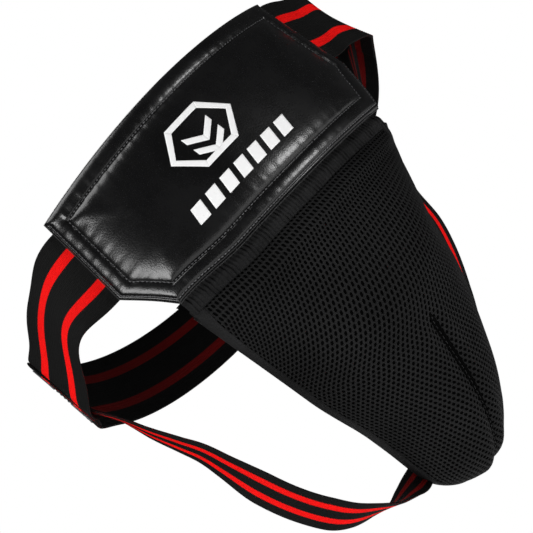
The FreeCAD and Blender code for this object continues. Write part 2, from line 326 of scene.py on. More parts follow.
def backing_material():
    """The dull knitted back of the panel."""
    n = Nodes("panel_backing", (0.012, 0.012, 0.012), 0.85, Sheen_Weight=0.05)
    place = n.place()
    apart = n.node("SeparateXYZ")
    n.link(place, apart.inputs[0])
    loops = n.maths("MULTIPLY", n.wave(apart.outputs["X"], 1.2 * MM), n.wave(apart.outputs["Z"], 0.9 * MM))
    fuzz = n.noise(500.0, 4.0, 0.7)
    n.tone(fuzz, 0.35, 0.65, (0.007, 0.007, 0.007), (0.02, 0.02, 0.021))
    n.bump(loops, 0.7, 0.3)
    n.bump(fuzz, 0.4, 0.15)
    return n.material


def foam_material():
    n = Nodes("panel_foam", (0.045, 0.045, 0.047), 0.8)
    pores = n.cells(700.0)
    n.tone(pores, 0.1, 0.7, (0.02, 0.02, 0.021), (0.06, 0.06, 0.063))
    n.bump(pores, 0.8, 0.4)
    return n.material


def speckled_material(name, colour, roughness, speckle, span, dark, light, relief, **sockets):
    """A plain finish whose colour and fine relief follow one noise, given by its scale, detail and roughness."""
    n = Nodes(name, colour, roughness, **sockets)
    grain = n.noise(*speckle)
    n.tone(grain, *span, dark, light)
    n.bump(grain, *relief)
    return n.material


def print_material():
    """A white heat-transfer print, a little worn where the leather creases."""
    n = Nodes("print_white", (0.86, 0.86, 0.86), 0.42)
    wear = n.noise(420.0, 5.0, 0.7)
    n.tone(wear, 0.25, 0.4, (0.8, 0.8, 0.8), (0.9, 0.9, 0.9))
    n.rough(wear, 0.3, 0.7, 0.55, 0.38)
    n.bump(n.cells(900.0), 0.15, 0.04)
    return n.material


def mesh_material(name, light, dark, shine):
    """Matte black knitted yarn: fine fibres and small loops."""
    n = Nodes(name, light, 0.75, Sheen_Weight=0.0, Specular_IOR_Level=shine)
    fibre = n.noise(900.0, 5.0, 0.75)
    loops = n.cells(1500.0)
    broad = n.noise(14.0, 2.0, 0.5)
    shade = n.maths("MULTIPLY_ADD", broad, 0.5, n.maths("MULTIPLY", fibre, 0.6))
    n.tone(shade, 0.35, 0.75, dark, light)
    n.rough(fibre, 0.3, 0.7, 0.55, 0.8)
    n.bump(loops, 0.7, 0.25)
    n.bump(fibre, 0.4, 0.12)
    return n.material


def elastic_material(name, width, stripes):
    """Ribbed black elastic with two woven red stripes, given as shares of its width, with painted shade on its inner
    face, which is coloured much darker.
    """
    n = Nodes(name, (0.01, 0.01, 0.01), 0.75, Specular_IOR_Level=0.1)
    across, along = n.cloth_place()
    teeth = n.maths("MULTIPLY", n.maths("SUBTRACT", n.wave(along, 1.1), 0.5), 0.35)
    place = n.maths("DIVIDE", n.maths("ADD", across, teeth), width)
    # the inner face: its cloth coordinates lie beyond the width, and it gets painted shade below
    inner = n.maths("GREATER_THAN", place, SHADED_INNER_FACE / 2)
    place = n.maths("SUBTRACT", place, n.maths("MULTIPLY", inner, SHADED_INNER_FACE))
    red = None
    for low, high in stripes:
        inside = n.maths("MULTIPLY", n.maths("GREATER_THAN", place, low), n.maths("LESS_THAN", place, high))
        red = inside if red is None else n.maths("MAXIMUM", red, inside)
    yarn = n.maths("MULTIPLY", n.wave(along, 0.75), n.wave(across, 0.9))
    fibre = n.noise(1100.0, 4.0, 0.7)
    tone = n.maths("MULTIPLY_ADD", yarn, 0.45, n.maths("MULTIPLY", fibre, 0.75))
    black = n.mix(n.spread(tone, 0.25, 0.75), (0.001, 0.001, 0.001), (0.0085, 0.0085, 0.0083))
    crimson = n.mix(n.spread(tone, 0.2, 0.7), (0.66, 0.002, 0.002), (1.0, 0.005, 0.004))
    outside = n.mix(red, black, crimson)
    # painted shade: the inner face is near black with dull dark red stripes, in place of the shade inside the band
    inside = n.mix(red, (0.0008, 0.0008, 0.0008), (0.11, 0.0005, 0.0005))
    n.colour(n.mix(inner, outside, inside))
    n.rough(fibre, 0.3, 0.7, 0.6, 0.8)
    n.bump(yarn, 0.8, 0.3)
    n.bump(fibre, 0.4, 0.12)
    return n.material


def plastic_material():
    """Moulded off-white polypropylene for the cup."""
    n = Nodes("cup_plastic", (0.8, 0.8, 0.77), 0.38, Subsurface_Weight=0.05)
    haze = n.noise(35.0, 4.0, 0.6)
    n.tone(haze, 0.3, 0.7, (0.74, 0.74, 0.70), (0.84, 0.84, 0.82))
    n.rough(haze, 0.3, 0.7, 0.3, 0.46)
    n.bump(n.noise(1600.0, 2.0, 0.5), 0.25, 0.04)
    return n.material


def rubber_material():
    n = Nodes("rim_rubber", (0.02, 0.02, 0.02), 0.6)
    speck = n.noise(1200.0, 3.0, 0.6)
    n.tone(speck, 0.35, 0.65, (0.014, 0.014, 0.014), (0.03, 0.03, 0.031))
    n.rough(n.noise(40.0), 0.3, 0.7, 0.5, 0.7)
    n.bump(speck, 0.4, 0.06)
    return n.material


def lining_material():
    """Soft brushed knit on the body side."""
    n = Nodes("lining", (0.02, 0.02, 0.021), 0.9, Sheen_Weight=0.08, Sheen_Roughness=0.5)
    nap = n.noise(700.0, 6.0, 0.8)
    pile = n.noise(30.0, 3.0, 0.6)
    n.tone(n.maths("MULTIPLY_ADD", pile, 0.6, nap), 0.5, 1.0, (0.012, 0.012, 0.013), (0.03, 0.03, 0.032))
    n.bump(n.cells(800.0), 0.5, 0.25)
    n.bump(nap, 0.6, 0.3)
    return n.material


def label_material():
    """A blank woven label: pale satin threads."""
    n = Nodes("label", (0.72, 0.72, 0.7), 0.55, Sheen_Weight=0.05)
    across, along = n.cloth_place()
    weave = n.maths("MULTIPLY", n.wave(across, 0.5), n.wave(along, 0.7))
    n.tone(weave, 0.1, 0.8, (0.6, 0.6, 0.58), (0.78, 0.78, 0.76))
    n.bump(weave, 0.6, 0.12)
    return n.material


LEATHER_FINISH = leather_material()
BACKING_FINISH = backing_material()
FOAM_FINISH = foam_material()
THREAD_FINISH = speckled_material("thread", (0.012, 0.012, 0.013), 0.45, (1400.0, 2.0, 0.5), (0.3, 0.7),
                                  (0.03, 0.03, 0.032), (0.13, 0.13, 0.135), (0.6, 0.15), Sheen_Weight=0.03)
PRINT_FINISH = print_material()
NET_FINISH = mesh_material("air_mesh_net", (0.013, 0.013, 0.0133), (0.002, 0.002, 0.0021), 0.12)
# The mesh's inner face is a far darker copy of the net's yarn: painted shade in the holes of the net and along the
# dart.
SHADED_BASE_FINISH = mesh_material("air_mesh_base_painted_shade", (0.0008, 0.0008, 0.0009), (0.0004, 0.0004, 0.0004), 0.02)
HEM_FINISH = mesh_material("air_mesh_hem", (0.022, 0.022, 0.0225), (0.001, 0.001, 0.0011), 0.1)
SEAM_FINISH = mesh_material("seam_thread", (0.012, 0.012, 0.0125), (0.004, 0.004, 0.0042), 0.3)
WAIST_FINISH = elastic_material("waist_elastic", BAND_WIDTH, ((0.21, 0.325), (0.67, 0.785)))
STRAP_FINISH = elastic_material("strap_elastic", STRAP_WIDTH, ((0.22, 0.37), (0.62, 0.77)))
PLASTIC_FINISH = plastic_material()
RUBBER_FINISH = rubber_material()
LINING_FINISH = lining_material()
LOOP_FINISH = speckled_material("loop_tape", (0.015, 0.015, 0.015), 0.95, (900.0, 8.0, 0.9), (0.35, 0.65),
                                (0.006, 0.006, 0.006), (0.03, 0.03, 0.031), (1.0, 0.6), Sheen_Weight=0.1)
HOOK_FINISH = speckled_material("hook_tape", (0.012, 0.012, 0.012), 0.4, (1500.0, 2.0, 0.5), (0.3, 0.7),
                                (0.008, 0.008, 0.008), (0.022, 0.022, 0.022), (0.4, 0.08))
LABEL_FINISH = label_material()


# ---- waist panel ----
def side_half(z):
    """Half the panel's width at a level, and the share of a sideways step that goes square to the edge."""
    upper = HALF_KNEE + (HALF_TOP - HALF_KNEE) * (z - PANEL_KNEE) / (PANEL_TOP - PANEL_KNEE)
    lower = HALF_BOTTOM + (HALF_KNEE - HALF_BOTTOM) * (z - PANEL_BOTTOM) / (PANEL_KNEE - PANEL_BOTTOM)
    upper_square = math.cos(math.atan2(HALF_KNEE - HALF_TOP, PANEL_TOP - PANEL_KNEE))
    lower_square = math.cos(math.atan2(HALF_KNEE - HALF_BOTTOM, PANEL_KNEE - PANEL_BOTTOM))
    share = smooth((z - PANEL_KNEE + 4) / 8)
    return np.minimum(upper, lower), lower_square + (upper_square - lower_square) * share


def top_level(x):
    return PANEL_TOP + PANEL_CROWN * (1 - np.clip(np.abs(x) / HALF_TOP, 0, 1) ** 2)


def puff(x, z):
    """How far the leather's face lies in front of the panel's cylinder: down at the sewn edge and at the
    channel, up between them and over the foam in the middle."""
    half, square = side_half(z)
    side, low, high = (half - np.abs(x)) * square, z - PANEL_BOTTOM, top_level(x) - z
    inset = np.minimum(np.minimum(side, low), high)
    by_top = smooth((np.minimum(side, low) - high) / 3 + 0.5)
    t = np.clip(inset / CHANNEL_ROW, 0, 1)
    tube_height = -6.3 + 2.4 * t + 1.9 * np.sin(math.pi * t) ** 0.6
    turned = -5.0 + 1.1 * t + 1.9 * np.sin(math.pi * t ** 0.8) ** 0.9
    border = tube_height * (1 - by_top) + turned * by_top
    border -= (1 - by_top) * 0.9 * np.exp(-((inset - EDGE_ROW) / 0.75) ** 2)
    away = np.maximum(inset - CHANNEL_ROW, 0)
    by_side = smooth((np.minimum(low, high) - side) / 12 + 0.5)
    middle = -3.9 + 4.0 * (1 - np.exp(-away / (4.0 + 4.5 * by_side))) + 1.2 * smooth(away / 40)
    height = np.where(inset < CHANNEL_ROW, border, middle)
    height -= 0.7 * np.exp(-((inset - CHANNEL_ROW) / 0.8) ** 2)
    height -= 1.1 * np.clip(1 - inset / 1.1, 0, 1) ** 2
    along = np.where(side < np.minimum(low, high), z, x)
    near = np.exp(-np.abs(inset - CHANNEL_ROW) / 6) * smooth(inset / 3)
    corner = np.exp(-((x + 88) / 34) ** 2 - ((z - 42) / 16) ** 2)
    pucker = ripple(along * 0.75, inset * 0.1, 1) * near * (0.28 + 0.5 * corner)
    sway = 0.45 * ripple(x * 0.05, z * 0.06, 2) * smooth(away / 20)
    return height + pucker + sway


def bottom_tilt(x):
    """How much the panel's lower edge, and the mesh under it, hang off level."""
    return -1.2 - 6.2 * x / 110 + 5.0 * smooth((-x - 45) / 50)


def settle(x, z):
    """Where a place of the flat panel ends up: the soft panel lies a little askew."""
    u, v = x / 110, (z + 3) / 53
    right_knee = smooth((x - 80) / 35) * np.exp(-((z + 20) / 16) ** 2)
    low_left = smooth((-x - 45) / 50) * smooth((-z - 5) / 45)
    rise = 0.25 - 4.25 * u + 1.45 * v + 1.95 * u * v + 2.0 * right_knee + 5.0 * low_left
    return x + (4.4 + 4.5 * smooth(-v)) * smooth(u) - 1.5 * smooth(-u), z + rise


def panel_place(x, z, height):
    """The point at a height over the panel's cylinder."""
    x, z = settle(x, z)
    radius = PANEL_RADIUS + height
    turn = np.arcsin(x / PANEL_RADIUS)
    return np.stack([radius * np.sin(turn), PANEL_AXIS - radius * np.cos(turn), z], axis=-1)


def panel_normal(x):
    turn = np.arcsin(np.asarray(x) / PANEL_RADIUS)
    return np.stack([np.sin(turn), -np.cos(turn), 0 * turn], axis=-1)


def panel_grid(edge):
    """Places (x, z) over the panel, closer together at its sewn rows, from edge inwards."""
    close = [0, 0.4, 1.0, 1.6, 2.1, 2.6, 3.1, 3.7, 4.6, 5.8, 7.2, 8.7, 10.0, 11.0, 11.6, 12, 12.4, 13.0, 13.9, 15.2,
             16.9, 19.0, 21.5, 24.2, 27.0]
    insets = np.array([edge] + [i for i in close if i > edge + 0.2])
    inner, n = insets[-1], len(insets)
    tall, wide = np.linspace(0, 1, 35)[1:-1, None], 2 * np.linspace(0, 1, 117)[1:-1] - 1
    u = np.concatenate([insets - HALF_TOP, (HALF_TOP - inner) * wide, HALF_TOP - insets[::-1]]) / HALF_TOP
    top = PANEL_TOP + PANEL_CROWN * (1 - u ** 2)
    z = np.concatenate([PANEL_BOTTOM + insets[:, None] + 0 * top,
                        PANEL_BOTTOM + inner + (top - PANEL_BOTTOM - 2 * inner) * tall, top - insets[::-1, None]])
    half, square = side_half(z)
    x = np.concatenate([insets / square[:, :n] - half[:, :n], (half - inner / square)[:, n:-n] * wide,
                        half[:, -n:] - insets[::-1] / square[:, -n:]], axis=1)
    return x, z


def panel_layer(name, edge, front, back, material):
    x, z = panel_grid(edge)
    points, faces = slab(panel_place(x, z, front(x, z)), panel_place(x, z, back(x, z)))
    return add_mesh(name, points, faces, material)


def inset_line(inset, with_top, step=0.8):
    """The path of a sewn row round the panel, as places (x, z)."""
    low = PANEL_BOTTOM + inset
    level = np.arange(low, PANEL_TOP + PANEL_CROWN, 0.5)
    half, square = side_half(level)
    x_side = half - inset / square
    keep = level <= top_level(x_side) - inset
    level, x_side = level[keep], x_side[keep]
    bottom = np.arange(-x_side[0], x_side[0], step)
    left = np.stack([-x_side[::-1], level[::-1]], axis=1)
    line = [left, np.stack([bottom, 0 * bottom + low], axis=1), np.stack([x_side, level], axis=1)]
    if with_top:
        across = np.arange(x_side[-1], -x_side[-1], -step)
        line.append(np.stack([across, top_level(across) - inset], axis=1))
    return np.concatenate(line)


def sewn_row(name, inset, with_top):
    line = inset_line(inset, with_top)
    x, z = line[:, 0], line[:, 1]
    points, faces = stitches(panel_place(x, z, puff(x, z)), 2.1, 0.75, 0.5, panel_normal(x))
    return add_mesh(name, points, faces, THREAD_FINISH)


def printed_shape(corners, step=1.1):
    """Points and faces of a four-sided print on the leather, from its corners (x, z) in order."""
    a, b, c, d = (np.array(p, float) for p in corners)
    cols = max(2, int(max(np.linalg.norm(b - a), np.linalg.norm(c - d)) / step) + 2)
    rows = max(2, int(max(np.linalg.norm(d - a), np.linalg.norm(c - b)) / step) + 2)
    u, v = np.meshgrid(np.linspace(0, 1, cols), np.linspace(0, 1, rows))
    u, v = u[..., None], v[..., None]
    flat = (a * (1 - u) + b * u) * (1 - v) + (d * (1 - u) + c * u) * v
    x, z = flat[..., 0], flat[..., 1]
    height = puff(x, z)
    return slab(panel_place(x, z, height + 0.3), panel_place(x, z, height - 0.2))


def emblem():
    """The plain mark: a hexagon ring round two chevrons, over a row of slanted bars."""
    middle_x, middle_z, half_wide, half_tall, wall = -9.0, 9.0, 29.0, 20.8, 4.6
    reach, fall, height = 12.0, 8.0, 5.0
    parts = []
    for k in range(6):
        a, b = math.radians(60 * k), math.radians(60 * k + 60)
        ring = [(middle_x + (half_wide - inset) * math.cos(t), middle_z + (half_tall - inset) * math.sin(t))
                for inset, t in ((wall, a), (0.0, a), (0.0, b), (wall, b))]
        parts.append(printed_shape(ring))
    for top in (middle_z - 3.5, middle_z + 6.5):
        low = top - fall
        parts.append(printed_shape([(middle_x - reach, top - height), (middle_x, low - height), (middle_x, low),
                                    (middle_x - reach, top)]))
        parts.append(printed_shape([(middle_x, low - height), (middle_x + reach, top - height),
                                    (middle_x + reach, top), (middle_x, low)]))
    for i in range(7):
        x = -55 + 13.4 * i
        parts.append(printed_shape([(x, -30), (x + 9, -30), (x + 12, -18.5), (x + 3, -18.5)]))
    return join(parts)


def size_label():
    """A blank woven label sewn on the back of the panel, with its cloth coordinates."""
    x, z = np.meshgrid(np.linspace(-21, 21, 43), np.linspace(-8, 20, 29))
    weave = 0.05 * np.cos(x * 2.2) * np.cos(z * 2.2)
    points, faces = slab(panel_place(x, z, weave - LABEL_DEPTH + 0.5), panel_place(x, z, -LABEL_DEPTH + 0 * x))
    uv = np.stack([x, z], axis=-1).reshape(-1, 2)
    return add_mesh("woven_label", points, faces, LABEL_FINISH, np.concatenate([uv, uv]))


def build_panel():
    face = panel_layer("panel_leather_face", 0.0, puff, lambda x, z: puff(x, z) - LEATHER, LEATHER_FINISH)
    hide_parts("panel_face")
    deep = -BACKING_DEPTH + 0.3
    foam = panel_layer("panel_foam_core", 4.0, lambda x, z: np.maximum(puff(x, z) - LEATHER - 0.1, deep + 0.3),
                       lambda x, z: deep + 0 * x, FOAM_FINISH)
    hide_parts("panel_foam")
    backing = panel_layer("panel_back_sheet", -0.5, lambda x, z: -BACKING_DEPTH + 0 * x - 0.1,
                          lambda x, z: -BACK_SHEET + 0 * x, BACKING_FINISH)
    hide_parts("panel_backing")
    edge = sewn_row("panel_edge_thread", EDGE_ROW, False)
    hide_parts("panel_edge_stitching")
    channel = sewn_row("panel_channel_thread", CHANNEL_ROW, True)
    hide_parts("panel_channel_stitching")
    mark = add_mesh("panel_emblem", *emblem(), PRINT_FINISH)
    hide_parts("panel_emblem_print")
    label = size_label()
    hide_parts("size_label")
    for piece in (face, foam, backing, edge, channel, mark, label):
        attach(piece, "panel_and_band")


# ---- elastics ----
def ribbon(name, centre, across, through, width, thickness, material, rib=1.6, relief=0.1):
    """A closed elastic through stations, with rounded edges, fine lengthwise ribs, and cloth coordinates."""
    cols = int(round(width / rib)) * 4 + 1
    u = np.linspace(-1, 1, cols)
    edge = thickness / width
    round_off = np.sqrt(np.clip(1 - (np.clip(np.abs(u) - (1 - edge), 0, None) / edge) ** 2, 0.02, 1))
    ribs = relief * np.cos(u * width / rib * math.pi) * (np.abs(u) < 1 - edge)
    half = (thickness / 2 + ribs) * round_off
    side = centre[:, None] + across[:, None] * (u * width / 2)[None, :, None]
    lift = through[:, None] * half[None, :, None]
    uv = np.stack(np.meshgrid((u + 1) / 2 * width, lengths(centre)), axis=-1).reshape(-1, 2)
    points, faces = slab(side + lift, side - lift)
    # the inner face's cloth coordinates are moved aside so that the elastic's material can paint shade on that face
    return add_mesh(name, points, faces, material, np.concatenate([uv, uv + (SHADED_INNER_FACE * width, 0)]))


def band_frame(place, out, cone, wide, offset):
    """Centre, across and through directions of the waist band at places, leaning in by the cone in degrees.
    The length of across is the share of BAND_WIDTH that the band has there."""
    cone = np.radians(np.asarray(cone))[:, None]
    up = np.array([0, 0, 1.0])
    across = up * np.cos(cone) - out * np.sin(cone)
    through = out * np.cos(cone) + up * np.sin(cone)
    return place + through * np.asarray(offset)[:, None], across * np.asarray(wide)[:, None], through


def front_stations(t, side):
    """The front stretch: t is 0 where it leaves the panel's edge and 1 at the hip; below 0 it is behind the panel."""
    hang = FRONT[side]
    t = np.asarray(t, float)
    radius, (begin, heading) = PANEL_RADIUS - ELASTIC_DEPTH - ELASTIC / 2, hang["leave"]
    first, last = hang["pulls"]
    dx, dy, dz = hang["hip"]
    start = np.array([radius * math.sin(begin), PANEL_AXIS - radius * math.cos(begin)])
    start_run = np.array([math.cos(heading), math.sin(heading)]) * first
    end = np.array([HIP_HALF - ELASTIC + dx, HIP_Y + dy])
    end_run = np.array([math.sin(hang["arrive"]), math.cos(hang["arrive"])]) * last
    k = np.clip(t, 0, 1)[:, None]
    place = (start * (2 * k**3 - 3 * k**2 + 1) + start_run * (k**3 - 2 * k**2 + k)
             + end * (3 * k**2 - 2 * k**3) + end_run * (k**3 - k**2))
    behind = begin + np.clip(t, None, 0) * first / radius
    sewn = np.stack([radius * np.sin(behind), PANEL_AXIS - radius * np.cos(behind)], axis=1)
    place = np.where(t[:, None] < 0, sewn, place)
    run = np.gradient(place, axis=0)
    out = unit(np.stack([run[:, 1], -run[:, 0], 0 * t], axis=1))
    share = smooth(t)
    waves = np.stack([1 - smooth(t / 0.4), np.exp(-((t - 0.3) / 0.2) ** 2), np.exp(-((t - 0.65) / 0.2) ** 2)])
    z = FRONT_LEVEL + (HIP_LEVEL - FRONT_LEVEL + dz) * share + np.array(hang["rise"]) @ waves
    cone = hang["lean"] * share + (np.array(hang["twist"]) @ waves) * smooth(t / 0.08)
    wide = hang["wide"][0] + (hang["wide"][1] - hang["wide"][0]) * share
    mirror = np.array([side, 1, 1])
    return band_frame(np.column_stack([place, z]) * mirror, out * mirror, cone, wide, 0 * t)


def back_place(angle):
    c, s = np.cos(angle), np.sin(angle)
    x = -HIP_HALF * np.sign(c) * np.abs(c) ** BACK_POWER
    y = HIP_Y + BACK_DEPTH * np.sign(s) * np.abs(s) ** BACK_POWER
    place = np.stack([x, y, HIP_LEVEL - BACK_DROOP * (y - HIP_Y)], axis=-1)
    for side in (-1, 1):
        dx, dy, dz = FRONT[side]["hip"]
        place = place + hip_share(angle, side)[:, None] * np.array([side * dx, dy, dz])
    return place


def hip_share(angle, side):
    """1 at a hip, falling to 0 round the back."""
    away = angle if side < 0 else math.pi - angle
    return 1 - smooth(away / 0.5)


def back_stations(angle, offset=0.0):
    """The back stretch: angle is 0 at the left hip and pi at the right hip."""
    angle = np.asarray(angle, float)
    run = back_place(angle + 0.01) - back_place(angle - 0.01)
    out = unit(np.stack([-run[:, 1], run[:, 0], 0 * angle], axis=1))
    cone, wide = BAND_CONE + 0 * angle, BACK_WIDE + 0 * angle
    for side in (-1, 1):
        share = hip_share(angle, side)
        cone = cone + (FRONT[side]["lean"] - BAND_CONE) * share
        wide = wide + (FRONT[side]["wide"][1] - BACK_WIDE) * share
    return band_frame(back_place(angle), out, cone, wide, offset + 0 * angle)


def closure_offset():
    return (ELASTIC + PATCH) / 2 + 0.4


def patch_piece(name, low, high, offset, material):
    """A strip of hook-and-loop tape on the waist band."""
    stations = back_stations(np.linspace(low, high, 70), offset)
    return ribbon(name, *stations, BAND_WIDTH - 8, PATCH, material, rib=2.1, relief=0.05)


def bar_tacks(name, angle):
    """Two dense zigzags of thread across a hip lap."""
    parts = []
    for level in (-14.0, 14.0):
        turns = np.linspace(angle - 0.011, angle + 0.011, 60)
        centre, across, _ = back_stations(turns, ELASTIC / 2 + 0.35)
        swing = 7.5 * (2 * np.abs((np.arange(60) * 0.5) % 2 - 1) - 1)
        parts.append(tube(centre + across * (level + swing)[:, None], np.full(60, 0.38)))
    return add_mesh(name, *join(parts), THREAD_FINISH)


def hip_stitching(name, side):
    """Two rows of stitches across the lap, that hold the front piece inside the back piece."""
    parts = []
    for turn in (0.035, 0.115):
        angle = turn if side < 0 else math.pi - turn
        centre, across, through = back_stations(np.array([angle]), ELASTIC / 2 + 0.1)
        level = np.linspace(-22, 22, 60)[:, None]
        parts.append(stitches(centre + across * level, 2.6, 0.8, 0.33, np.repeat(through, 60, 0)))
    return add_mesh(name, *join(parts), THREAD_FINISH)


def build_band():
    middle, root = math.pi / 2, "panel_and_band"
    step_out = 2 * closure_offset() + PATCH + 0.4
    for side, name in ((-1, "left"), (1, "right")):
        t = np.linspace(-0.14, 1, 120)
        front = front_stations(t, side)
        lap = np.linspace(*LAP, 12)
        tail = back_stations(lap if side < 0 else math.pi - lap, -ELASTIC - 0.15)
        stations = tuple(np.concatenate([a, b]) for a, b in zip(front, tail))
        piece = ribbon("waist_elastic_front_" + name, *stations, BAND_WIDTH, ELASTIC, WAIST_FINISH)
        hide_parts("waist_front_" + name)
        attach(piece, root)

    left = ribbon("waist_elastic_back_left", *back_stations(np.linspace(0.0, middle + CLOSURE_HALF, 190)),
                  BAND_WIDTH, ELASTIC, WAIST_FINISH)
    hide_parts("waist_back_left")
    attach(left, root)

    turns = np.linspace(math.pi, middle - CLOSURE_HALF, 190)
    offset = step_out * (1 - smooth((turns - middle - CLOSURE_HALF - 0.05) / 0.5))
    right = ribbon("waist_elastic_back_right", *back_stations(turns, offset), BAND_WIDTH, ELASTIC, WAIST_FINISH)
    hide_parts("waist_back_right", "waist_hip_lap_right")
    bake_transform(right)

    low, high = middle - CLOSURE_HALF + 0.04, middle + CLOSURE_HALF - 0.04
    loop = patch_piece("closure_loop_tape", low, high, closure_offset(), LOOP_FINISH)
    hook = patch_piece("closure_hook_tape", low, high, step_out - closure_offset(), HOOK_FINISH)
    for piece, node, body in ((loop, "closure_loop_patch", root), (hook, "closure_hook_patch", "belt_right")):
        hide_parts(node)
        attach(piece, body)

    for side, name, angle in ((-1, "left", 0.07), (1, "right", math.pi - 0.07)):
        tacks = bar_tacks("hip_bar_tacks_" + name, angle)
        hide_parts("hip_tacks_" + name)
        rows = hip_stitching("hip_stitches_" + name, side)
        for piece in (tacks, rows):
            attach(piece, root)


# ---- pouch ----
def drift(s):
    return -TIP_DRIFT * (np.clip(s, 0, None) / POUCH_LENGTH) ** 2 - 4.0 * smooth((s - 150) / 80)


def opening_point(s, x, back=0.0):
    """A point s down the opening plane, x across it and back behind it; lying down, the pouch narrows a little."""
    s, x = np.broadcast_arrays(np.asarray(s, float), np.asarray(x, float))
    pinch = (0.09 * smooth((s - 110) / 80) + 0.075 * np.exp(-((s - 78) / 28) ** 2) * smooth(x / 60)
             + 0.05 * smooth((s - 170) / 50) * smooth(-x / 20))
    askew = (4.5 * smooth((x + 25) / 60) - 1.5 * smooth((-x - 10) / 30)) * smooth((s - 175) / 60)
    return np.stack([x * (1 - pinch) + drift(s), OPENING_Y + s * math.sin(LEAN) + back * math.cos(LEAN),
                     OPENING_Z - s * math.cos(LEAN) + back * math.sin(LEAN)
                     + bottom_tilt(x) * (1 - smooth((s - 5) / 40)) + askew], axis=-1)


def half_width(s):
    tip = np.clip((s - TIP_START) / (POUCH_LENGTH - TIP_START), 0, 1)
    return POUCH_HALF * (1 - TAPER * s) * np.sqrt(np.clip(1 - tip**2, 1e-6, 1))


def bulge_depth(s):
    tip = np.clip((s - 165) / (POUCH_LENGTH - 165), 0, 1)
    rise = 38 + 28 * np.sin(math.pi / 2 * np.clip((s - 20) / 60, 0, 1))
    return (rise - 0.11 * np.clip(s - 80, 0, None)) * np.sqrt(np.clip(1 - tip**2.5, 1e-6, 1))


def bulge_direction(s):
    angle = LEAN * smooth(np.asarray(s) / 90)
    return np.stack([0 * angle, -np.cos(angle), -np.sin(angle)], axis=-1)


def arch_point(s, x, inset=0.0, share=1.0):
    """A point of the pouch's front, or of an arch inside it, over the place (x, s) of the opening plane."""
    half = share * half_width(s) - inset
    height = (bulge_depth(s) - inset) * np.clip(1 - (x / half) ** 2, 0, 1) ** ARCH
    return opening_point(s, x) + bulge_direction(s) * height[..., None]


def cover_point(a, s):
    """The cover: below the hem it is the pouch's arch; above, it runs flat up behind the panel."""
    a, s = np.broadcast_arrays(np.asarray(a, float), np.asarray(s, float))
    x = half_width(s) * np.sin(a)
    arch = arch_point(s, x * 0.99999)
    seam = smooth((s - SEAM_START) / 14)
    groove = (2.2 * np.exp(-np.abs(x / 3.0) ** 1.3) + 0.8 * np.exp(-((x / 9.0) ** 2))
              - 1.8 * np.exp(-((np.abs(x) - 10) / 5) ** 2)) * seam
    soft = smooth((s - 30) / 30) * np.cos(a) ** 0.5
    folds = (1.0 * ripple(x * 0.055, s * 0.03, 3) + 0.5 * ripple(s * 0.09, x * 0.05, 4)) * soft
    folds = folds * (1 - 0.8 * np.exp(-((x / 12) ** 2)) * seam) + 1.6 * soft
    top_fold = (1.9 + 1.5 * smooth((x + 20) / 70)) * np.exp(-((s - 33) / 6) ** 2) * np.cos(a)
    arch = arch + bulge_direction(s) * (folds - groove - top_fold)[..., None]
    radius = PANEL_RADIUS - COVER_DEPTH
    wide = x * 96.0 / half_width(20.0)
    hem = np.stack([wide, PANEL_AXIS - np.sqrt(radius**2 - wide**2), -52.0 - s * 0.78 + bottom_tilt(wide)], axis=-1)
    share = smooth((s - 16) / 13)[..., None]
    return hem * (1 - share) + arch * share


def cover_normal(a, s):
    step = 0.01
    across = cover_point(np.clip(a + step, -1.56, 1.56), s) - cover_point(np.clip(a - step, -1.56, 1.56), s)
    down = cover_point(a, np.asarray(s) + 0.5) - cover_point(a, np.asarray(s) - 0.5)
    return unit(np.cross(down, across))


def cover_at(a, s):
    return cover_point(a, s), cover_normal(a, s)


class Unrolled:
    """Turns a distance across the cover, from its middle line, into the angle of the section."""

    def __init__(self):
        self.s = np.linspace(2, POUCH_LENGTH - 0.5, 240)
        self.a = np.linspace(-math.pi / 2, math.pi / 2, 361)
        grid = cover_point(self.a[None, :], self.s[:, None])
        steps = np.linalg.norm(np.diff(grid, axis=1), axis=-1)
        arc = np.concatenate([np.zeros((len(self.s), 1)), np.cumsum(steps, axis=1)], axis=1)
        middle = len(self.a) // 2
        self.arc = arc - arc[:, middle:middle + 1]
        self.left, self.right = self.arc[:, 0], self.arc[:, -1]

    def reach(self, s):
        """Distances from the middle line to the left and right edges."""
        return np.interp(s, self.s, self.left), np.interp(s, self.s, self.right)

    def angle(self, q, s):
        q, s = np.broadcast_arrays(np.asarray(q, float), np.asarray(s, float))
        row = np.clip(np.searchsorted(self.s, s.ravel()) - 1, 0, len(self.s) - 2)
        share = np.clip((s.ravel() - self.s[row]) / (self.s[row + 1] - self.s[row]), 0, 1)
        found = np.zeros(q.size)
        for k, (i, w, value) in enumerate(zip(row, share, q.ravel())):
            found[k] = np.interp(value, self.arc[i] * (1 - w) + self.arc[i + 1] * w, self.a)
        return found.reshape(q.shape)


def cover_base():
    """The closed inner face of the air mesh, as one sheet from behind the panel to the tip; its near-black finish is
    painted shade seen through the net's holes.
    """
    tip = 206 + 44.5 * np.sin(np.linspace(0.05, math.pi / 2, 26))
    s = np.concatenate([np.linspace(4, 40, 37), np.linspace(41, 206, 111), tip])
    a = np.linspace(-math.pi / 2 + 0.02, math.pi / 2 - 0.02, 121)
    grid, normal = cover_at(a[None, :], s[:, None])
    return slab(grid - normal * BASE_NEAR, grid - normal * BASE_FAR)


def gathered(column, down):
    """Where a place of the flat net ends up, as (distance across, s): the net is gathered under the hem."""
    near = np.minimum(down, 90.0) / 90
    s = 17 + down - 0.35 * 90 * (near - near**3 + near**4 / 2)
    return column * (0.78 + 0.22 * smooth((s - 25) / 85)), s


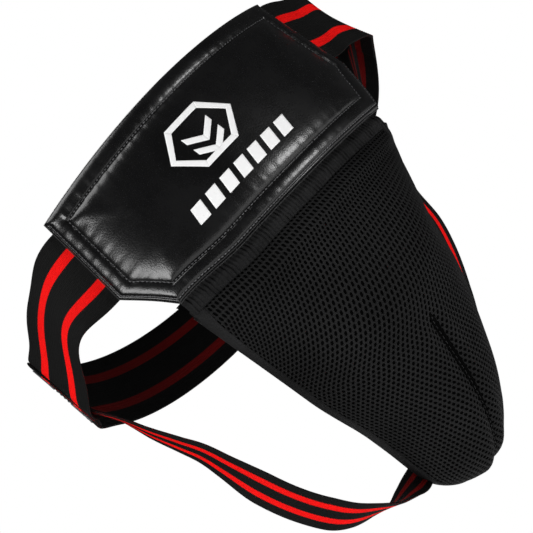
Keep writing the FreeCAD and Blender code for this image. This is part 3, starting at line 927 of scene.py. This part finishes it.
def cover_net(unrolled):
    """The outer face of the air mesh: a knitted net of rounded holes, thick enough to shade them."""
    ring_at = np.array([(PITCH / 2, ROW / 3), (0, ROW / 1.5), (-PITCH / 2, ROW / 3),
                        (-PITCH / 2, -ROW / 3), (0, -ROW / 1.5), (PITCH / 2, -ROW / 3)])
    sides = len(ring_at)
    hole_at = np.array(NET_HOLE) * ring_at
    corners, centres, cells = {}, [], []
    for j in range(int((POUCH_LENGTH + 15) / ROW)):
        for i in range(-40, 41):
            column, down = (i + 0.5 * (j % 2)) * PITCH, j * ROW
            q, s = gathered(column, down)
            left, right = unrolled.reach(s)
            if s > POUCH_LENGTH - 2 or not left + NET_MARGIN < q < right - NET_MARGIN:
                continue
            cells.append([corners.setdefault((round((column + dq) * 20), round((down + ds) * 20)), len(corners))
                          for dq, ds in ring_at])
            centres.append((column, down))
    flat, centres, cells = np.array(list(corners), float) / 20, np.array(centres), np.array(cells)
    lean = -0.36 + 0.6 * smooth((centres[:, 1:] - 95) / 60)
    holes = centres[:, None] + hole_at
    holes[..., 0] += lean * hole_at[:, 1]
    everything = np.concatenate([flat, holes.reshape(-1, 2)])
    q, s = gathered(everything[:, 0], everything[:, 1])
    s = np.clip(s, 4, POUCH_LENGTH - 1.2)
    low, high = unrolled.reach(s)
    angle = unrolled.angle(np.clip(q, low + 0.5, high - 0.5), s)
    place, normal = cover_at(angle, s)
    count, total = len(flat), len(everything)
    top = np.concatenate([np.full(count, 0.0), np.full(total - count, -0.5)])
    points = np.concatenate([place + normal * top[:, None], place - normal * NET_DEEP])
    faces, used = [], {}
    for c, ring in enumerate(cells):
        inner = [count + c * sides + k for k in range(sides)]
        for k in range(sides):
            n = (k + 1) % sides
            a, b = int(ring[k]), int(ring[n])
            faces.append([a, inner[k], inner[n], b])
            faces.append([inner[k], inner[k] + total, inner[n] + total, inner[n]])
            faces.append([a + total, b + total, inner[n] + total, inner[k] + total])
            used[(a, b)] = True
    for a, b in used:
        if (b, a) not in used:
            faces.append([a, b, b + total, a + total])
    return points, faces


def dart_shade_strip():
    """A thin near-black strip laid over the cover down the dart where it is sewn shut: painted shade for the dark
    crease there.
    """
    s = np.linspace(SEAM_START + 2, POUCH_LENGTH - 6, 200)
    half = 0.2 + 2.1 * smooth((s - SEAM_START) / 10) * (1 - 0.55 * smooth((s - 150) / 50))
    a = np.linspace(-1, 1, 5) * (half / half_width(s))[:, None]
    grid, normal = cover_at(a, s[:, None])
    return slab(grid + normal * 0.12, grid - normal * 0.8)


def seam_thread():
    """Stitches down the dart that gathers the lower third of the cover."""
    s = np.linspace(SEAM_START + 4, POUCH_LENGTH - 8, 220)
    place, normal = cover_at(0 * s, s)
    return stitches(place + normal * 0.15, 3.4, 1.3, 0.35, normal)


def hem_strip():
    """The doubled strip of mesh under the panel, ribbed where it is gathered, and rolled at its lower edge."""
    radius, width = PANEL_RADIUS - HEM_DEPTH, 96.5
    x = np.linspace(1 - width, width, 560)
    turn = np.linspace(0, math.pi, 9)
    turn, edge, round_off = turn[1:-1], -67.2, 1.25
    level = np.concatenate([np.linspace(-47, edge, 22), edge - round_off * np.sin(turn), np.linspace(edge, -52, 12)])
    depth = np.concatenate([np.full(22, 0.0), -round_off * (1 - np.cos(turn)), np.full(12, -2 * round_off)])
    grid_x, grid_z = np.meshgrid(x, level)
    ribs = 0.75 * np.sin(grid_x * 2 * math.pi / 2.8 + 1.1 * ripple(grid_x * 0.15, grid_z * 0.2, 5))
    ribs *= 0.65 + 0.45 * ripple(grid_x * 0.4, grid_z * 0.35, 6)
    roll = 1.9 * np.exp(-((grid_z + 61.8) / 3.6) ** 2) * (depth[:, None] > -1.3)
    r = radius + depth[:, None] + ribs + roll
    low = grid_z + bottom_tilt(grid_x) + 0.35 * ripple(grid_x * 0.12, 0, 7)
    front = np.stack([grid_x, PANEL_AXIS - np.sqrt(r**2 - grid_x**2), low], axis=-1)
    push = np.stack([grid_x / r, -np.sqrt(1 - (grid_x / r) ** 2), 0 * grid_x], axis=-1)
    fold = np.gradient(front, axis=0)
    skin = unit(np.cross(np.gradient(front, axis=1), fold))
    skin = np.where((skin * push).sum(-1, keepdims=True)[:1] > 0, skin, -skin)
    return slab(front, front - skin * 0.8)


def edge_path():
    """Stations down an edge of the opening, closer together round the tip."""
    s = np.linspace(15, TIP_START, 130)
    turn = np.linspace(0, math.pi / 2, 40)[1:]
    rounded = TIP_START + (POUCH_LENGTH - 1.5 - TIP_START) * np.sin(turn)
    return np.concatenate([s, rounded])


def binding(side):
    """The folded strip that binds an edge of the pouch: over the cover in front, and over the lining behind."""
    s = edge_path()
    flap, behind, thick = 7.5, 7.0, 0.9
    reach = half_width(s)
    tangent = np.stack([np.gradient(reach), np.gradient(s)], axis=1)
    inward = unit(np.stack([-tangent[:, 1], tangent[:, 0]], axis=1))
    inward[:, 1] = np.where(s > TIP_START, inward[:, 1], 0)
    inward = -np.abs(unit(inward))
    depth = np.linspace(0, 14, 120)
    x, level = np.clip(reach[:, None] + inward[:, :1] * depth, 0, None), s[:, None] + inward[:, 1:] * depth
    lines = cover_point(np.arcsin(np.clip(x / half_width(level), 0, 0.99999)) * side, level)
    places = np.linspace(0.3, flap, 9)
    front = np.array([pick_along(places, lengths(line), line) for line in lines])
    normal = unit(np.cross(np.gradient(front, axis=1), np.array([0, math.sin(LEAN), -math.cos(LEAN)])))
    outward = np.array([side * 1.0, -0.6, -0.2])
    normal = np.where((normal * outward).sum(-1, keepdims=True) > 0, normal, -normal)[:, ::-1]
    front = front[:, ::-1]
    skin = front + normal * thick
    skin[:, 0] = front[:, 0] - normal[:, 0] * 0.3

    def folded(over_cover, bends, over_lining):
        """A face of the strip, on from its part over the cover, round the edge and over the lining."""
        rest = [opening_point(s, (reach + out) * side, back) for out, back in bends]
        rest += [opening_point(s + inward[:, 1] * e, (reach + inward[:, 0] * e) * side, over_lining(e))
                 for e in np.linspace(0.8, behind, 6)]
        return np.concatenate([over_cover, np.stack(rest, axis=1)], axis=1)

    outer = folded(skin, ((0.9, 1.2), (0.7, 3.0)), lambda e: 4.4 + 0.25 * math.sin(e))
    inner = folded(front + normal * 0.05, ((0.05, 1.2), (-0.15, 3.0)), lambda e: 3.5)
    if side < 0:
        return slab(outer, inner)
    return slab(outer[:, ::-1], inner[:, ::-1])


def lining_sheet():
    """The whole lining: margin, rolled edge over the cup's rim, and the bowl inside the cup."""
    tip = TIP_START + 36.5 * np.sin(np.linspace(0.04, math.pi / 2, 26))
    s = np.concatenate([np.linspace(22, TIP_START, 110), tip])
    outer = half_width(s) - 0.8
    end = np.clip((s - 160) / 60, 0, 1)
    mouth = (CUP_SHARE * half_width(np.minimum(s, 215)) - 11.0) * np.sqrt(np.clip(1 - end**2.6, 0, 1))
    mouth = np.clip(mouth, 0.5, None)
    mouth = np.where(s > 220, 0.5 * np.clip((251 - s) / 31, 0.1, 1), mouth)
    margin = np.linspace(0, 1, 14)
    arc = np.linspace(-math.pi / 2, math.pi / 2, 61)
    x_left = -(outer[:, None] * (1 - margin) + mouth[:, None] * margin)
    x_bowl = mouth[:, None] * np.sin(arc)
    x = np.concatenate([x_left, x_bowl[:, 1:-1], -x_left[:, ::-1]], axis=1)
    closing = np.clip((s - 150) / 70, 0, 1)
    deep = np.clip(bulge_depth(s) - 13.0, 0, None) * np.sqrt(np.clip(1 - closing ** 2.4, 0, 1))
    bowl = deep[:, None] * np.cos(arc) ** (2 * ARCH)
    height = np.concatenate([0 * x_left, bowl[:, 1:-1], 0 * x_left], axis=1)
    rim = np.exp(-((np.abs(x) - mouth[:, None]) / 3.0) ** 2)
    inside = outer[:, None] - np.abs(x)
    wrinkle = 0.35 * ripple(s[:, None] * 0.25, x * 0.08, 8) * smooth(inside / 8)
    place = opening_point(s[:, None] + 0 * x, x) + bulge_direction(s)[:, None, :] * height[..., None]
    behind = np.array([0, math.cos(LEAN), math.sin(LEAN)])
    back = 2.6 + 3.0 * smooth(inside / 11) + 0.8 * rim + wrinkle
    face = place + behind * back[..., None]
    normal = unit(np.cross(np.gradient(face, axis=1), np.gradient(face, axis=0)))
    normal = np.where(normal @ behind > 0, 1, -1)[..., None] * normal
    return slab(face - normal * 1.2, face)


def build_pouch():
    unrolled = Unrolled()
    root, pouch = "panel_and_band", "pouch"
    base = add_mesh("pouch_cover_base", *cover_base(), SHADED_BASE_FINISH)
    net = add_mesh("pouch_cover_net", *cover_net(unrolled), NET_FINISH)
    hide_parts("pouch_mesh")
    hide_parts("pouch_mesh")
    seam = add_mesh("pouch_dart_thread", *seam_thread(), SEAM_FINISH)
    # painted shade: a near-black strip along the dart's crease
    fold = add_mesh("pouch_dart_shade_strip", *dart_shade_strip(), SHADED_BASE_FINISH)
    hem = add_mesh("pouch_hem", *hem_strip(), HEM_FINISH)
    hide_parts("pouch_top_hem")
    lining = add_mesh("pouch_lining", *lining_sheet(), LINING_FINISH)
    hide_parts("pouch_lining_bowl", "pouch_lining_border")
    bindings = []
    for side, name in ((-1, "left"), (1, "right")):
        piece = add_mesh("pouch_edge_binding_" + name, *binding(side), HEM_FINISH)
        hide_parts("pouch_binding_" + name)
        bindings.append(piece)
    for piece in (base, net, *bindings):
        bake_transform(piece)
    for piece in (seam, fold, lining):
        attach(piece, pouch)
    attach(hem, root)


# ---- leg straps ----
def curve_through(points, count):
    """A smooth open curve through points, evenly sampled."""
    points = np.array(points, float)
    ends = np.concatenate([[2 * points[0] - points[1]], points, [2 * points[-1] - points[-2]]])
    out = []
    for i in range(1, len(ends) - 2):
        a, b, c, d = ends[i - 1:i + 3]
        t = np.linspace(0, 1, 30, endpoint=i == len(ends) - 3)[:, None]
        out.append(0.5 * (2 * b + (c - a) * t + (2 * a - 5 * b + 4 * c - d) * t**2 + (3 * b - a - 3 * c + d) * t**3))
    line = np.concatenate(out)
    along = lengths(line)
    return pick_along(np.linspace(0, along[-1], count), along, line)


def strap(name, route, edges, stretch=0.0):
    """A narrow elastic along a route of points; edges are the directions across it, one per point, and stretch is
    how much wider it lies half way."""
    count = 170
    centre = curve_through(route, count)
    run = unit(np.gradient(centre, axis=0))
    keys, at = lengths(np.array(route, float)), np.linspace(0, 1, count)
    edge = pick_along(at, keys / keys[-1], unit(np.array(edges, float)))
    across = unit(edge - run * (edge * run).sum(1, keepdims=True))
    through, wider = np.cross(across, run), stretch * np.sin(math.pi * at)[:, None]
    centre, across = centre - across * wider * STRAP_WIDTH / 2, across * (1 + wider)
    return ribbon(name, centre, across, through, STRAP_WIDTH, ELASTIC, STRAP_FINISH, rib=1.25, relief=0.09)


# Where the middle lines of the leg straps run, from the hip to the pouch, and the direction across each strap there.
LEFT_ROUTE = [(-170, -3, -28), (-169.5, -4, -40), (-163, -6, -58), (-158, -6, -79), (-152, -5, -98),
              (-147, -5, -115), (-144, -3, -134), (-140, 1, -159), (-133, 5, -183), (-123, 8, -205),
              (-112, 11, -219), (-97, 15, -230), (-83, 21, -238), (-70, 26, -240), (-55, 31, -241),
              (-41, 36.5, -239)]
LEFT_EDGES = [(.2, .98, .03), (.25, .96, .03), (.23, .97, -.03), (.05, .98, -.17), (-.08, .96, -.26),
              (-.22, .91, -.36), (-.38, .81, -.45), (-.65, .47, -.59), (-.71, .35, -.61), (-.72, .36, -.61),
              (-.38, .8, -.45), (.04, .98, -.18), (.06, .98, .19), (-.35, .65, .67), (-.26, .02, .96),
              (-.2, -.5, .84)]
RIGHT_ROUTE = [(169, -6, -8), (155, -5, -25), (138, -3, -46), (126, -1, -66), (112.6, 2.4, -89), (104, 5.4, -112.5),
               (98.6, 7.8, -138.5), (89, 11.8, -161.5), (75, 16, -185), (61, 21, -204), (51, 27, -219),
               (42, 32, -230), (29, 34.5, -237)]
RIGHT_EDGES = [(0, -1, 0), (-.2, -1, 0), (-.3, -.9, .1), (-.55, -.8, .2), (-.75, -.55, .3), (-.85, -.35, .35),
               (-.85, -.35, .35), (-.85, -.4, .35), (-.8, -.5, .35), (-.8, -.4, .4), (-.7, -.4, .55),
               (-.5, -.45, .7), (-.3, -.5, .8)]


def build_straps():
    left = strap("leg_elastic_left", LEFT_ROUTE, LEFT_EDGES, stretch=0.13)
    right = strap("leg_elastic_right", RIGHT_ROUTE, RIGHT_EDGES)
    for side, piece in (("left", left), ("right", right)):
        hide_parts("leg_strap_" + side, "strap_hip_end_" + side, "strap_pouch_end_" + side)
        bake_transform(piece)


# ---- kept CAD nodes ----
def finish_nodes():
    for node, material in (("cup_shell", PLASTIC_FINISH), ("cup_rim", RUBBER_FINISH)):
        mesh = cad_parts[node].data
        for k in range(max(1, len(mesh.materials))):
            if k < len(mesh.materials):
                mesh.materials[k] = material
            else:
                mesh.materials.append(material)


# ---- floor, light and camera ----
CAMERA_RIGHT = Vector((0.5928, -0.1651, -0.7882))
CAMERA_UP = Vector((0.7136, -0.3458, 0.6092))
CAMERA_BACK = Vector((-0.3732, -0.9237, -0.0872))
CAMERA_AIM, CAMERA_DISTANCE = Vector((-0.08084, -0.17194, -0.08309)), 0.864
SENSOR, LENS = 36.0, 1500 / 533 * 36
FLOOR_DROP, FLOOR_REACH = 180.0, 650.0  # how far the floor lies below the part, and its radius


def build_stage():
    material = Nodes("floor", (0.95, 0.95, 0.95), 0.9)
    speckle = material.noise(3.0, 2.0, 0.5)
    material.tone(speckle, 0.3, 0.7, (0.94, 0.94, 0.94), (0.97, 0.97, 0.97))
    level = cad_box[0].z / MM - FLOOR_DROP
    turns = np.linspace(0, 2 * math.pi, 96, endpoint=False)
    rim = np.stack([FLOOR_REACH * np.cos(turns), FLOOR_REACH * np.sin(turns), 0 * turns + level], axis=1)
    floor = add_mesh("floor", rim, [list(range(len(rim)))], material.material, flat=True)


def area_light(name, place, target, size, power):
    data = bpy.data.lights.new(name, "AREA")
    data.shape, data.size, data.size_y, data.energy = "RECTANGLE", size[0], size[1], power
    light = add_object(name, data)
    light.location = place
    light.rotation_euler = (Vector(target) - Vector(place)).to_track_quat("-Z", "Y").to_euler()


def build_light():
    world = bpy.data.worlds.new("studio")
    world.use_nodes = True
    tree = world.node_tree
    seen, lit = tree.nodes["Background"], tree.nodes.new("ShaderNodeBackground")
    for background, strength in ((seen, 1.0), (lit, 0.06)):
        background.inputs["Color"].default_value = (1, 1, 1, 1)
        background.inputs["Strength"].default_value = strength
    path, mix = tree.nodes.new("ShaderNodeLightPath"), tree.nodes.new("ShaderNodeMixShader")
    tree.links.new(path.outputs["Is Camera Ray"], mix.inputs[0])
    tree.links.new(lit.outputs[0], mix.inputs[1])
    tree.links.new(seen.outputs[0], mix.inputs[2])
    tree.links.new(mix.outputs[0], tree.nodes["World Output"].inputs["Surface"])
    bpy.context.scene.world = world
    area_light("softbox_left", (-1.44, -0.76, -0.14), (-0.06, -0.08, -0.02), (0.6, 0.8), 17)
    area_light("softbox_right", (0.4, -0.62, -0.27), (0.02, -0.09, -0.05), (0.22, 0.22), 2.5)
    area_light("softbox_back", (0.2, 1.6, 0.8), (0, -0.05, -0.1), (1.2, 0.9), 8)
    sky = bpy.data.lights.new("overhead", "SUN")
    sky.energy, sky.angle = 2.2, math.radians(45)
    add_object("overhead", sky).rotation_euler = (math.radians(12), math.radians(-14), 0)


def build_camera():
    data = bpy.data.cameras.new("camera")
    data.lens, data.sensor_width = LENS, SENSOR
    camera = add_object("camera", data)
    axes = Matrix((CAMERA_RIGHT, CAMERA_UP, CAMERA_BACK)).transposed()
    camera.matrix_world = Matrix.Translation(CAMERA_AIM + CAMERA_BACK * CAMERA_DISTANCE) @ axes.to_4x4()
    data.clip_start, data.clip_end = 0.05, 50.0
    bpy.context.scene.camera = camera
    bpy.context.scene.view_settings.view_transform = "Standard"


build_camera()
build_light()
build_stage()
build_panel()
build_band()
build_pouch()
build_straps()
finish_nodes()
